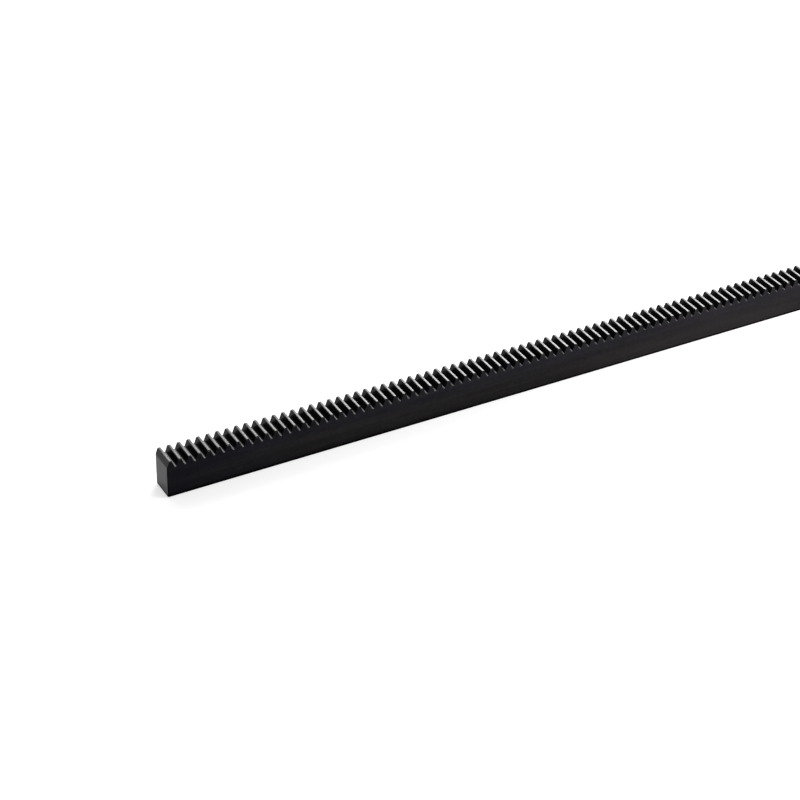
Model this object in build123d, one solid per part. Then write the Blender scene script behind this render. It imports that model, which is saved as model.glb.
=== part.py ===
from build123d import *
import math
import os

# A straight spur gear rack: one drawn flat bar of steel with teeth cut along its top.
# Millimetres. X runs along the bar from the photographed end, Y from the front face to the back
# face, Z up. The origin is the centre of the bottom face.

# Tooth system: full-depth basic rack
module = 1.5
pressure_angle = 20.0
addendum_factor = 1.0
dedendum_factor = 1.25
root_radius_factor = 0.25

# Bar
length = 500.0
face_width = 12.7
tip_height = 19.05

# The photographed end is sawn through the foot of the first tooth's flank
first_tooth_from_end = 1.8

# Broken edges
drawn_edge_radius = 0.5
top_edge_chamfer = 0.4
end_chamfer = 0.3
tip_chamfer = 0.12

# Worked out from the tooth system
pitch = math.pi * module
addendum = addendum_factor * module
dedendum = dedendum_factor * module
root_radius = root_radius_factor * module
slope = math.tan(math.radians(pressure_angle))
pitch_line_height = tip_height - addendum
root_height = pitch_line_height - dedendum
tip_gap_half = pitch / 4 + addendum * slope
root_gap_half = pitch / 4 - dedendum * slope
first_tooth_x = first_tooth_from_end - length / 2


def blank_bar():
    """The bar before cutting: long edges round below and chamfered above, sawn ends chamfered all round."""
    bar = Pos(0, 0, tip_height / 2) * Box(length, face_width, tip_height)
    bottom_edges = bar.edges().filter_by(Axis.X).sort_by(Axis.Z)[:2]
    bar = fillet(bottom_edges, drawn_edge_radius)
    top_edges = bar.edges().filter_by(Axis.X).sort_by(Axis.Z)[-2:]
    bar = chamfer(top_edges, top_edge_chamfer)
    ends = bar.faces().sort_by(Axis.X)
    return chamfer(ends[0].edges() + ends[-1].edges(), end_chamfer)


def tooth_space():
    """What the rack cutter takes out between two teeth: straight flanks, round root, broken tips."""
    mouth_half = tip_gap_half + tip_chamfer
    chamfer_foot = tip_height - tip_chamfer
    foot_half = tip_gap_half - tip_chamfer * slope
    clear_of_the_bar = tip_height + module
    right_side = [
        (root_gap_half, root_height),
        (foot_half, chamfer_foot),
        (mouth_half, tip_height),
        (mouth_half, clear_of_the_bar),
    ]
    left_side = [(-x, z) for x, z in reversed(right_side)]
    outline = make_face(Polyline(*right_side, *left_side, close=True))
    root_corners = outline.vertices().sort_by(Axis.Y)[:2]
    outline = fillet(root_corners, root_radius)
    return extrude(Plane.XZ * outline, amount=face_width, both=True)


def space_centres():
    """The middles of all tooth spaces that touch the bar, from the photographed end to the far one."""
    reach = length / 2 + tip_gap_half + tip_chamfer
    before = math.floor((first_tooth_x - pitch / 2 + reach) / pitch)
    start = first_tooth_x - pitch / 2 - before * pitch
    count = math.floor((reach - start) / pitch) + 1
    return [start + i * pitch for i in range(count)]


def gear_rack():
    space = tooth_space()
    return blank_bar() - [Pos(x, 0, 0) * space for x in space_centres()]


os.makedirs("parts", exist_ok=True)
rack = gear_rack()
print("teeth spaces", len(space_centres()), "volume", round(rack.volume, 1), "valid", rack.is_valid)
export_step(rack, "parts/gear_rack.step")
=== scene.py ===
import math

import bmesh
import bpy
from mathutils import Matrix, Vector


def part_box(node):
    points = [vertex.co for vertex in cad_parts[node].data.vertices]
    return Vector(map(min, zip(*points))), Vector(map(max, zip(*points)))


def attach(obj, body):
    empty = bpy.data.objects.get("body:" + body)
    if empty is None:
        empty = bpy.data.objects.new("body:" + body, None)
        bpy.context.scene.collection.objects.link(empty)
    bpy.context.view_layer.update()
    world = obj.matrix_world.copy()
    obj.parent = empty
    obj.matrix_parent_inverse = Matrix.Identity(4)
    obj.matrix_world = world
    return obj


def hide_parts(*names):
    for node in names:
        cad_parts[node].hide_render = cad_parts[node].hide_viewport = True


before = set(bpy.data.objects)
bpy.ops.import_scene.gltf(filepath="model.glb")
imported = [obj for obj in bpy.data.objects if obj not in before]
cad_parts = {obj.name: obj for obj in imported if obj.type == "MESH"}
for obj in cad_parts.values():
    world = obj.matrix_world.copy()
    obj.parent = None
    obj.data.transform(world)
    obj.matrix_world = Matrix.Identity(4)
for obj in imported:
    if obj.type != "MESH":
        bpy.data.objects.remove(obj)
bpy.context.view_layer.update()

NODE = "gear_rack"
MICRON = 0.000001

# The rack's own sizes, in metres, as in the CAD
MODULE = 0.0015
PITCH = math.pi * MODULE
PRESSURE_ANGLE = 20
SLOPE = math.tan(math.radians(PRESSURE_ANGLE))
DEDENDUM = 1.25 * MODULE
TOOTH_DEPTH = 2.25 * MODULE
ROOT_RADIUS = 0.25 * MODULE
FIRST_TOOTH = 0.0018
END_CHAMFER = 0.0003

# Long edges: the CAD has this radius on the lower two, and a 0.4 mm chamfer on the upper two
LONG_EDGE_RADIUS = 0.0005

# Wider than the CAD's 0.12 mm, tuned to the lands' shine in the photo, and slightly crowned
TIP_CHAMFER = 0.00018
TIP_CROWN = TIP_CHAMFER * 0.09

# Finer than the CAD: a deburred outline on both sides of a tooth, and on the sawn edge of a flank
SIDE_BREAK = 0.00005
SAWN_BREAK = 0.0001

# Height of the band round the foot that is painted with shade
SHADED_FOOT_BAND = 0.0011

# Steps in the round stretches, and the shares of a flank and of the rounding that have a ring
ROOT_STEPS = 5
LONG_EDGE_STEPS = 4
FLANK_SHARES = (0.35, 0.7, 1.0)
ROUNDING_SHARES = (0.3, 0.55)

# What keeps points apart: along the bar at the ends, under a side's break, and down the side
CLEAR_OF_END = 0.00002
LEAST_DROP = 0.00001
SIDE_SPACING = 0.00003

# Rings at each sawn end, and the place of the painted shade band's upper edge among a half
# section's points
END_RINGS = 3
BAND_POINT = LONG_EDGE_STEPS + 2

# Worked out from the sizes and the frame
low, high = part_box(NODE)
X0, X1 = low.x, high.x
HALF_WIDTH = (high.y - low.y) / 2
TIP = high.z
ROOT = TIP - TOOTH_DEPTH
TIP_GAP = PITCH / 4 + MODULE * SLOPE
ROOT_GAP = PITCH / 4 - DEDENDUM * SLOPE
ROOT_TURN = 90 - PRESSURE_ANGLE
ROUNDING_FOOT = TIP - LONG_EDGE_RADIUS


# Shape

def half_space():
    """(x, z) from the middle of a tooth space to the middle of the next land."""
    tangent = ROOT_RADIUS * math.tan(math.radians(ROOT_TURN / 2))
    centre_x, centre_z = ROOT_GAP - tangent, ROOT + ROOT_RADIUS
    points = [(0.0, ROOT)]
    for i in range(ROOT_STEPS + 1):
        a = math.radians(-90 + ROOT_TURN * i / ROOT_STEPS)
        points.append((centre_x + ROOT_RADIUS * math.cos(a), centre_z + ROOT_RADIUS * math.sin(a)))
    flank_foot = points[-1][1]
    foot_x, foot_z = TIP_GAP - TIP_CHAMFER * SLOPE, TIP - TIP_CHAMFER
    heights = [flank_foot + (ROUNDING_FOOT - flank_foot) * share for share in FLANK_SHARES]
    heights += [ROUNDING_FOOT + LONG_EDGE_RADIUS * share for share in ROUNDING_SHARES]
    points += [(foot_x - (foot_z - z) * SLOPE, z) for z in heights]
    top_x = TIP_GAP + TIP_CHAMFER
    crown = ((foot_x + top_x) / 2 - TIP_CROWN, (foot_z + TIP) / 2 + TIP_CROWN)
    return points + [(foot_x, foot_z), crown, (top_x, TIP), (PITCH / 2, TIP)]


def height_at(points, x):
    """The height of a line of points at a place along the bar."""
    for (xa, za), (xb, zb) in zip(points, points[1:]):
        if xa <= x <= xb:
            return za + (zb - za) * (x - xa) / (xb - xa)
    return points[-1][1]


def top_profile():
    """(x, z) along the teeth from one end to the other."""
    half = half_space()
    one = [(-x, z) for x, z in reversed(half)][:-1] + half[:-1]
    first = X0 + FIRST_TOOTH - PITCH / 2
    points = []
    for i in range(-1, int((X1 - first) / PITCH) + 2):
        points += [(first + i * PITCH + x, z) for x, z in one]
    start, stop = X0 + END_CHAMFER, X1 - END_CHAMFER
    inner = [p for p in points if start + CLEAR_OF_END < p[0] < stop - CLEAR_OF_END]
    ends = (X0, X0 + SAWN_BREAK, start, stop, X1 - SAWN_BREAK, X1)
    edge = [(x, height_at(points, x)) for x in ends]
    return edge[:END_RINGS] + inner + edge[END_RINGS:]


def reach(z, inset):
    """Half the bar's width at a height: the long top edges are round."""
    if z <= ROUNDING_FOOT:
        return HALF_WIDTH - inset
    radius = LONG_EDGE_RADIUS - inset
    rise = min((z - ROUNDING_FOOT) / radius, 1.0)
    return HALF_WIDTH - LONG_EDGE_RADIUS + radius * math.sqrt(1 - rise * rise)


def half_section(x, z, inset, normal):
    """(x, y, z) points down one side, from the top's deburred edge to the bottom."""
    rise = max(0.0, min((z - ROUNDING_FOOT) / LONG_EDGE_RADIUS, 1.0))
    step = SIDE_BREAK * math.sqrt(1 - rise * rise)
    x_side = x - normal[0] * step
    z_side = z - max(normal[1] * step, LEAST_DROP)
    points = [(x, reach(z, inset) - step, z), (x_side, reach(z_side, inset), z_side)]
    steps = range(1, LONG_EDGE_STEPS + 1)
    if z_side > ROUNDING_FOOT:
        start = math.asin(min((z_side - ROUNDING_FOOT) / LONG_EDGE_RADIUS, 1.0))
        angles = [start * (1 - k / LONG_EDGE_STEPS) for k in steps]
        heights = [ROUNDING_FOOT + LONG_EDGE_RADIUS * math.sin(a) for a in angles]
    else:
        heights = [z_side - SIDE_SPACING * k for k in steps]
    points += [(x_side, reach(h, inset), h) for h in heights]
    points.append((x, HALF_WIDTH - inset, SHADED_FOOT_BAND))
    radius = LONG_EDGE_RADIUS - inset
    for i in range(LONG_EDGE_STEPS + 1):
        a = math.radians(90 * i / LONG_EDGE_STEPS)
        y = HALF_WIDTH - LONG_EDGE_RADIUS + radius * math.cos(a)
        points.append((x, y, LONG_EDGE_RADIUS - radius * math.sin(a)))
    return points


def profile_normal(profile, i):
    """The outward normal at a point of the profile, longer where it turns, as a mitre is."""
    here = profile[i]
    before, after = profile[max(i - 1, 0)], profile[min(i + 1, len(profile) - 1)]
    sides = []
    for a, b in ((before, here), (here, after)):
        run = Vector((b[0] - a[0], b[1] - a[1]))
        if run.length > 0:
            sides.append(Vector((-run.y, run.x)).normalized())
    mitre = sides[0] + sides[-1]
    return mitre * 2 / mitre.length_squared


def rack_mesh():
    """Rings of points round the bar, one for each point of the toothed profile."""
    profile = top_profile()
    last = len(profile) - 1
    rings = []
    for i, (x, z) in enumerate(profile):
        inset = max(0.0, END_CHAMFER - (x - X0), END_CHAMFER - (X1 - x))
        at_end = i < END_RINGS or i > last - END_RINGS
        normal = Vector((0.0, 1.0)) if at_end else profile_normal(profile, i)
        top = z - SAWN_BREAK if i in (0, last) else z
        side = half_section(x, top, inset, normal)
        rings.append(side + [(a, -b, c) for a, b, c in reversed(side)])
    per = len(rings[0])
    foot = tuple(range(BAND_POINT, per - BAND_POINT))
    face = tuple(range(per - BAND_POINT - 1, per)) + tuple(range(BAND_POINT + 1))
    faces = [foot[::-1], face[::-1]]
    faces += [tuple(last * per + k for k in part) for part in (foot, face)]
    for i in range(last):
        for k in range(per):
            a, b = i * per + k, i * per + (k + 1) % per
            faces.append((a, b, b + per, a + per))
    mesh = bpy.data.meshes.new("rack_teeth_and_bar")
    mesh.from_pydata([p for ring in rings for p in ring], [], faces)
    bm = bmesh.new()
    bm.from_mesh(mesh)
    bmesh.ops.recalc_face_normals(bm, faces=bm.faces)
    bm.to_mesh(mesh)
    bm.free()
    return mesh


# Materials

# From deep to pale, as (place, colour): bluer under the teeth, nearly neutral below; the deepest
# stops take the painted shade low down
OXIDE_BLUE = (
    (0.15, (0.0014, 0.0013, 0.0020)),
    (0.36, (0.0075, 0.0070, 0.0104)),
    (0.64, (0.0210, 0.0195, 0.0240)),
)
OXIDE_BLACK = (
    (0.15, (0.0016, 0.0015, 0.0016)),
    (0.36, (0.0086, 0.0078, 0.0082)),
    (0.64, (0.0230, 0.0206, 0.0210)),
)
# Painted shade: near black, for the lower and end edges and the band round the foot
OXIDE_PAINTED_SHADE = (0.36, (0.0005, 0.0005, 0.0007)), (0.64, (0.0022, 0.0020, 0.0022))
OXIDE_LAND = (0.3, (0.011, 0.011, 0.013)), (0.7, (0.024, 0.023, 0.023))
OXIDE_SAWN = (0.36, (0.008, 0.008, 0.011)), (0.62, (0.040, 0.039, 0.043))
OXIDE_WORN = (0.52, (0.004, 0.004, 0.005)), (0.62, (0.060, 0.058, 0.055))
OXIDE_FLANK = (0.3, (0.0026, 0.0023, 0.0029)), (0.7, (0.0070, 0.0062, 0.0064))
OXIDE_ROOT = (0.3, (0.006, 0.006, 0.007)), (0.7, (0.016, 0.015, 0.015))

# Where the saw blade's centre was, and how closely its arcs lie
SAW_BLADE_CENTRE = (0.0, 0.165, 0.03)
SAW_ARCS_PER_METRE = 1300


class Nodes:
    """Builds one material's node tree."""

    def __init__(self, name):
        self.material = bpy.data.materials.new(name)
        self.material.use_nodes = True
        self.tree = self.material.node_tree
        self.tree.nodes.clear()
        self.output = self.add("OutputMaterial")
        self.coordinates = self.add("TexCoord").outputs["Object"]

    def add(self, kind, **settings):
        node = self.tree.nodes.new("ShaderNode" + kind)
        for key, value in settings.items():
            setattr(node, key, value)
        return node

    def link(self, a, b):
        self.tree.links.new(a, b)

    def feed(self, socket, value):
        """Sets a socket to a number, or links it to another node's output."""
        if isinstance(value, (int, float)):
            socket.default_value = value
        else:
            self.link(value, socket)

    def stretched(self, *scale):
        """Object coordinates, scaled: features per metre along each axis."""
        node = self.add("Mapping")
        node.inputs["Scale"].default_value = scale
        self.link(self.coordinates, node.inputs["Vector"])
        return node.outputs["Vector"]

    def noise(self, vector, detail, roughness):
        node = self.add("TexNoise")
        node.inputs["Scale"].default_value = 1.0
        node.inputs["Detail"].default_value = detail
        node.inputs["Roughness"].default_value = roughness
        self.link(vector, node.inputs["Vector"])
        return node.outputs["Fac"]

    def math(self, operation, a, b):
        node = self.add("Math", operation=operation)
        self.feed(node.inputs[0], a)
        self.feed(node.inputs[1], b)
        return node.outputs[0]

    def blend(self, *parts):
        """The sum of (value, weight) pairs and plain numbers or outputs."""
        total = None
        for part in parts:
            value = self.math("MULTIPLY", *part) if isinstance(part, tuple) else part
            total = value if total is None else self.math("ADD", total, value)
        return total

    def along(self, axis, start, end):
        """A value that changes evenly along an axis, between two (place, value) pairs."""
        apart = self.add("SeparateXYZ")
        self.link(self.coordinates, apart.inputs[0])
        span = self.add("MapRange")
        self.link(apart.outputs[axis], span.inputs["Value"])
        for name, value in zip(("From Min", "To Min", "From Max", "To Max"), start + end):
            span.inputs[name].default_value = value
        return span.outputs[0]

    def mix(self, share, a, b):
        """Colour a where share is 0, colour b where it is 1."""
        node = self.add("Mix", data_type="RGBA")
        self.link(share, node.inputs[0])
        self.link(a, node.inputs[6])
        self.link(b, node.inputs[7])
        return node.outputs[2]

    def ramp(self, value, *stops):
        """value mapped through straight pieces: stops are (place, colour)."""
        node = self.add("ValToRGB")
        elements = node.color_ramp.elements
        while len(elements) < len(stops):
            elements.new(0.5)
        for element, (place, colour) in zip(elements, stops):
            element.position = place
            element.color = (*colour, 1.0)
        self.link(value, node.inputs["Fac"])
        return node.outputs["Color"]

    def bump(self, height, distance, under=None):
        """A normal with relief of a distance in metres; under is the normal it is added to."""
        node = self.add("Bump")
        node.inputs["Distance"].default_value = distance
        self.link(height, node.inputs["Height"])
        if under is not None:
            self.link(under, node.inputs["Normal"])
        return node.outputs["Normal"]

    def steel(self, colour, roughness, normal, level):
        """The blacked steel's shader; level, a number or an output, is its Specular IOR Level."""
        node = self.add("BsdfPrincipled")
        self.link(colour, node.inputs["Base Color"])
        self.link(roughness, node.inputs["Roughness"])
        self.link(normal, node.inputs["Normal"])
        self.feed(node.inputs["Specular IOR Level"], level)
        self.link(node.outputs["BSDF"], self.output.inputs["Surface"])
        return self.material


def slow_clouds(n):
    """Slow changes of shade over the oxide, as the hot bath leaves it."""
    return n.noise(n.stretched(18, 60, 60), detail=4, roughness=0.55)


def fine_clouds(n):
    """Fine changes of shade over the oxide."""
    return n.noise(n.stretched(700, 700, 700), detail=5, roughness=0.65)


def drawn_surface():
    """The drawn sides and bottom: bands and streaks along the bar.

    Painted shade makes them blacker low down, along the foot and towards the near end; they are
    bluer under the teeth.
    """
    n = Nodes("black_oxide_drawn")
    slow, fine = slow_clouds(n), fine_clouds(n)
    bands = n.noise(n.stretched(7, 260, 260), detail=3, roughness=0.6)
    streaks = n.noise(n.stretched(30, 5200, 5200), detail=2, roughness=0.7)
    # Painted shade: darker low down, strongest towards the near end
    shade_with_height = n.along("Z", (0.0, -0.2), (0.009, 0.0))
    shade_share_near_end = n.along("X", (-0.13, 1.0), (-0.08, 0.1))
    painted_low_shade = n.math("MULTIPLY", shade_with_height, shade_share_near_end)
    # Painted shade: darker just above the band round the foot
    painted_foot_shade = n.along("Z", (SHADED_FOOT_BAND, -0.12), (0.0018, 0.0))
    # Painted shade along the bar: darker over the near half, slightly lighter beyond
    painted_near_end_shade = n.along("X", (X0, -0.12), (0.0, 0.06))
    texture = (slow, 0.35), (bands, 0.4), (streaks, 0.1), (fine, 0.25)
    tone_and_painted_shade = n.blend(*texture, -0.05, painted_low_shade, painted_foot_shade, painted_near_end_shade)
    under_teeth = n.along("Z", (0.009, 0.0), (0.014, 0.7))
    at_near_end = n.along("X", (X0, 0.7), (X0 + 0.06, 0.0))
    blue = n.blend(under_teeth, at_near_end, (slow, 0.3))
    colour = n.mix(blue, n.ramp(tone_and_painted_shade, *OXIDE_BLACK), n.ramp(tone_and_painted_shade, *OXIDE_BLUE))
    rough = n.blend((bands, 0.14), (streaks, 0.16), 0.22)
    relief = n.bump(streaks, 2 * MICRON, under=n.bump(fine, 3 * MICRON))
    return n.steel(colour, rough, relief, level=0.02)


def corner_painted_shade():
    """Lower and end edges, with a narrow band round the foot: painted shade, near black and
    without gloss.
    """
    n = Nodes("black_oxide_corner_painted_shade")
    slow, fine = slow_clouds(n), fine_clouds(n)
    colour = n.ramp(n.blend((slow, 0.6), (fine, 0.4)), *OXIDE_PAINTED_SHADE)
    rough = n.blend((fine, 0.3), 0.4)
    return n.steel(colour, rough, n.bump(fine, 2 * MICRON), level=0.0)


def milled_surface(name, shades, level, base_roughness):
    """Flanks and roots: the cutter's fine lines run across the bar, over its slow feed ripple."""
    n = Nodes(name)
    slow, fine = slow_clouds(n), fine_clouds(n)
    lines = n.noise(n.stretched(9000, 45, 9000), detail=2, roughness=0.7)
    ripple = n.noise(n.stretched(90, 1500, 90), detail=1, roughness=0.5)
    colour = n.ramp(n.blend((slow, 0.4), (lines, 0.3), (fine, 0.3)), *shades)
    rough = n.blend((lines, 0.2), (fine, 0.1), base_roughness)
    relief = n.bump(lines, 2 * MICRON, under=n.bump(ripple, 4 * MICRON))
    return n.steel(colour, rough, relief, level)


def land_surface():
    """Tip lands: the bar's drawn top, rubbed brighter, and duller over the back half."""
    n = Nodes("black_oxide_land")
    slow, fine = slow_clouds(n), fine_clouds(n)
    streaks = n.noise(n.stretched(60, 3500, 3500), detail=3, roughness=0.65)
    colour = n.ramp(n.blend((slow, 0.4), (streaks, 0.4), (fine, 0.2)), *OXIDE_LAND)
    rough = n.blend((streaks, 0.2), 0.3)
    relief = n.bump(streaks, 2 * MICRON, under=n.bump(fine, 2 * MICRON))
    return n.steel(colour, rough, relief, level=n.along("Y", (-0.0005, 1.0), (0.0036, 0.52)))


def saw_arcs(n):
    """Noise that changes only with the distance from the saw blade's centre."""
    from_blade = n.add("VectorMath", operation="DISTANCE")
    n.link(n.stretched(0, 1, 1), from_blade.inputs[0])
    from_blade.inputs[1].default_value = SAW_BLADE_CENTRE
    arcs = n.add("TexNoise", noise_dimensions="1D")
    n.link(n.math("MULTIPLY", from_blade.outputs["Value"], SAW_ARCS_PER_METRE), arcs.inputs["W"])
    arcs.inputs["Scale"].default_value = 1.0
    arcs.inputs["Detail"].default_value = 4.0
    return arcs.outputs["Fac"]


def sawn_surface():
    """The ends: shallow saw arcs, greyer than the sides, with painted shade darker at the foot."""
    n = Nodes("black_oxide_sawn")
    slow, fine, arcs = slow_clouds(n), fine_clouds(n), saw_arcs(n)
    # Painted shade: darker towards the foot
    painted_end_shade = n.along("Z", (0.0, -0.25), (0.006, 0.0))
    colour = n.ramp(n.blend((slow, 0.2), (arcs, 0.55), (fine, 0.25), painted_end_shade), *OXIDE_SAWN)
    rough = n.blend((arcs, 0.15), (fine, 0.1), 0.27)
    relief = n.bump(arcs, 14 * MICRON, under=n.bump(fine, 5 * MICRON))
    return n.steel(colour, rough, relief, level=0.15)


def worn_edge():
    """Broken edges, where handling has rubbed the oxide thin."""
    n = Nodes("black_oxide_edge")
    fine = fine_clouds(n)
    patches = n.noise(n.stretched(260, 260, 260), detail=4, roughness=0.6)
    colour = n.ramp(patches, *OXIDE_WORN)
    rough = n.blend((fine, 0.2), 0.3)
    return n.steel(colour, rough, n.bump(fine, 2 * MICRON), level=0.12)


# The rack

# Cosines of a face's normal with an axis: facing along it, lying along it, and looking up
FACING = 0.99
LYING = 0.01
LOOKING_UP = 0.5

# How far under the roots a face still belongs to a tooth space, inside the bar and at its edges
UNDER_ROOTS = 0.0001
UNDER_ROOTS_AT_EDGE = 0.0005

# Edges that turn by more than this are sharp
SHARP_ANGLE = math.radians(24)


def surface_kind(normal, centre):
    """Which finish a face of the rack has, by where it is and which way it looks."""
    # Painted shade on the band round the foot
    if centre.z < SHADED_FOOT_BAND and abs(normal.z) < FACING:
        return "corner"
    if abs(normal.x) > FACING:
        return "end"
    if abs(centre.y) < HALF_WIDTH - LONG_EDGE_RADIUS and centre.z > ROOT - UNDER_ROOTS:
        if centre.z > TIP - MICRON:
            return "land"
        if centre.z > TIP - TIP_CHAMFER:
            return "edge"
        return "root" if normal.z > LOOKING_UP else "flank"
    if abs(normal.y) > FACING or abs(normal.z) > FACING:
        return "drawn"
    # Painted shade on the chamfered end edges below the roots
    if centre.z < ROOT - UNDER_ROOTS_AT_EDGE:
        return "corner"
    if abs(normal.y) < LYING:
        return "root" if normal.z > LOOKING_UP else "flank"
    return "edge"


def finish_rack():
    """The rack's one piece, with a finish on each face, in place of the CAD's node."""
    mesh = rack_mesh()
    surfaces = {
        "drawn": drawn_surface(),
        "corner": corner_painted_shade(),
        "flank": milled_surface("black_oxide_flank", OXIDE_FLANK, level=0.09, base_roughness=0.08),
        "root": milled_surface("black_oxide_root", OXIDE_ROOT, level=0.94, base_roughness=0.05),
        "land": land_surface(),
        "end": sawn_surface(),
        "edge": worn_edge(),
    }
    order = list(surfaces)
    for name in order:
        mesh.materials.append(surfaces[name])
    for face in mesh.polygons:
        face.material_index = order.index(surface_kind(face.normal, face.center))
        face.use_smooth = True
    mesh.set_sharp_from_angle(angle=SHARP_ANGLE)
    rack = bpy.data.objects.new("gear_rack_bar", mesh)
    bpy.context.scene.collection.objects.link(rack)
    weighted = rack.modifiers.new("face weighted normals", "WEIGHTED_NORMAL")
    weighted.keep_sharp = True
    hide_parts(NODE)
    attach(rack, "root")


# Floor, light, camera

FLOOR_HALF_SIDE = 12.0
FLOOR_GREY = 0.86
FLOOR_GLOW = 0.5

# The world's strength for the light that it gives, and where it is looked at
WORLD_LIGHT, WORLD_SEEN = 0.45, 1.0

# Name, place, target, (width, height) and power of each lamp
LAMPS = (
    ("softbox_back", (0.83, 0.87, 0.84), (0.0, 0.0, 0.0), (1.0, 0.6), 21.0),
    ("softbox_left", (0.0, 1.10, 0.92), (0.0, 0.0, 0.0), (1.1, 0.6), 4.6),
    ("fill_right", (0.42, -0.36, 0.34), (0.05, 0.0, 0.0), (0.4, 0.3), 3.7),
)

# The photograph's pinhole camera, fitted to the rack's edges and teeth: its focal length in
# pixels, its angles in radians, and its place in modules from the near end's lower front corner
PHOTO_PIXELS = 800
FOCAL_PIXELS = 2171.3
AZIMUTH, ELEVATION, ROLL = 0.51952, 0.58931, -0.02515
CAMERA_FROM_CORNER = (-197.870, -482.586, 382.644)
SENSOR_WIDTH = 36.0
CLIP_NEAR, CLIP_FAR = 0.02, 60.0


def seen_by_camera_or_gloss(tree):
    """1 for camera, glossy and transmission rays, 0 for the light that falls on things."""
    path = tree.nodes.new("ShaderNodeLightPath")
    total = path.outputs["Is Camera Ray"]
    for name in ("Is Glossy Ray", "Is Transmission Ray"):
        node = tree.nodes.new("ShaderNodeMath")
        node.operation = "MAXIMUM"
        tree.links.new(total, node.inputs[0])
        tree.links.new(path.outputs[name], node.inputs[1])
        total = node.outputs[0]
    return total


def floor_surface():
    """Pale floor: lit by the lamps, and topped up to white where camera, gloss or glass looks."""
    n = Nodes("pale_floor")
    diffuse = n.add("BsdfDiffuse")
    diffuse.inputs["Color"].default_value = (FLOOR_GREY, FLOOR_GREY, FLOOR_GREY, 1.0)
    glow = n.add("Emission")
    strength = n.math("MULTIPLY", seen_by_camera_or_gloss(n.tree), FLOOR_GLOW)
    n.link(strength, glow.inputs["Strength"])
    both = n.add("AddShader")
    n.link(diffuse.outputs[0], both.inputs[0])
    n.link(glow.outputs[0], both.inputs[1])
    n.link(both.outputs[0], n.output.inputs["Surface"])
    return n.material


def make_floor():
    """One square under the rack."""
    mesh = bpy.data.meshes.new("floor")
    r = FLOOR_HALF_SIDE
    mesh.from_pydata([(-r, -r, 0), (r, -r, 0), (r, r, 0), (-r, r, 0)], [], [(0, 1, 2, 3)])
    mesh.materials.append(floor_surface())
    ground = bpy.data.objects.new("floor", mesh)
    bpy.context.scene.collection.objects.link(ground)


def make_world():
    """White where it is looked at, softer where it lights things."""
    world = bpy.data.worlds.new("studio")
    world.use_nodes = True
    bpy.context.scene.world = world
    tree = world.node_tree
    tree.nodes.clear()
    out = tree.nodes.new("ShaderNodeOutputWorld")
    back = tree.nodes.new("ShaderNodeBackground")
    level = tree.nodes.new("ShaderNodeMapRange")
    tree.links.new(seen_by_camera_or_gloss(tree), level.inputs["Value"])
    level.inputs["To Min"].default_value = WORLD_LIGHT
    level.inputs["To Max"].default_value = WORLD_SEEN
    tree.links.new(level.outputs[0], back.inputs["Strength"])
    tree.links.new(back.outputs[0], out.inputs["Surface"])


def make_lamp(name, place, target, size, power):
    data = bpy.data.lights.new(name, "AREA")
    data.shape = "RECTANGLE"
    data.size, data.size_y = size
    data.energy = power
    lamp = bpy.data.objects.new(name, data)
    bpy.context.scene.collection.objects.link(lamp)
    lamp.location = place
    lamp.visible_camera = False
    lamp.rotation_mode = "QUATERNION"
    lamp.rotation_quaternion = (Vector(target) - Vector(place)).to_track_quat("-Z", "Y")


def make_camera():
    """The photograph's viewpoint, turned by its azimuth, elevation and roll."""
    place = Vector((X0, -HALF_WIDTH, 0.0)) + Vector(CAMERA_FROM_CORNER) * MODULE
    ahead = Vector((math.sin(AZIMUTH), math.cos(AZIMUTH), 0.0))
    forward = ahead * math.cos(ELEVATION) - Vector((0.0, 0.0, math.sin(ELEVATION)))
    right = Vector((math.cos(AZIMUTH), -math.sin(AZIMUTH), 0.0))
    down = forward.cross(right)
    image_right = right * math.cos(ROLL) + down * math.sin(ROLL)
    image_down = down * math.cos(ROLL) - right * math.sin(ROLL)
    data = bpy.data.cameras.new("camera")
    data.sensor_width = SENSOR_WIDTH
    data.lens = FOCAL_PIXELS * SENSOR_WIDTH / PHOTO_PIXELS
    data.clip_start, data.clip_end = CLIP_NEAR, CLIP_FAR
    camera = bpy.data.objects.new("camera", data)
    bpy.context.scene.collection.objects.link(camera)
    turn = Matrix((image_right, -image_down, -forward)).transposed().to_4x4()
    camera.matrix_world = Matrix.Translation(place) @ turn
    bpy.context.scene.camera = camera


finish_rack()
make_floor()
make_world()
for lamp in LAMPS:
    make_lamp(*lamp)
make_camera()
bpy.context.scene.view_settings.view_transform = "Standard"
